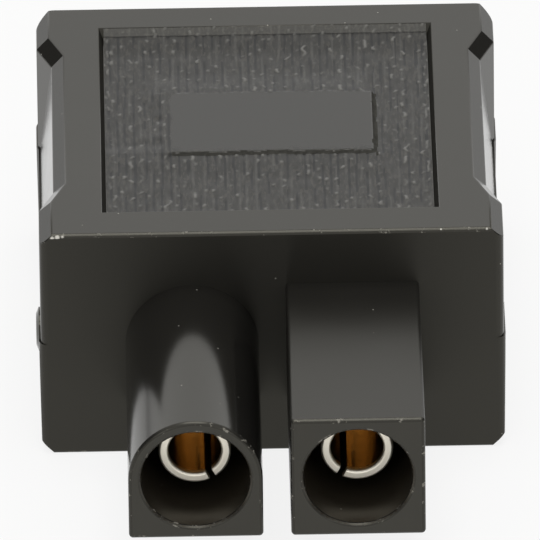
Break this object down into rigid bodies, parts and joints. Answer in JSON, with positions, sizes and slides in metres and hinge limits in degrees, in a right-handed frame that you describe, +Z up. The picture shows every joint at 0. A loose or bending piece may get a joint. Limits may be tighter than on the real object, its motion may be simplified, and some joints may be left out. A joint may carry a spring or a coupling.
{
  "type": "battery connector adapter",
  "caption": "Compact wireless battery connector adapter: a moulded block with a half-round and a square plug pod in front and a keyed pin socket in its back.",
  "frame": {"origin": "centre of the bounding box at the flat underside", "axes": "+Z up from the underside to the panel, +Y from the plug pods to the rear socket, +X to the square pod's side"},
  "size_m": [0.0221, 0.0338, 0.012],
  "materials": {
    "housing_plastic": "dark grey moulded nylon, satin",
    "insert_plastic": "black moulded nylon, satin",
    "gilt_brass": "turned brass with gold plating",
    "tin_solder": "bright tin solder"
  },
  "bodies": {
    "root": {"housing": "housing_plastic", "rear_insert": "insert_plastic", "socket_contact_left": "gilt_brass", "socket_contact_right": "gilt_brass", "rear_pin_left": "gilt_brass", "rear_pin_right": "gilt_brass", "solder_joint_left": "tin_solder", "solder_joint_right": "tin_solder"}
  },
  "joints": []
}
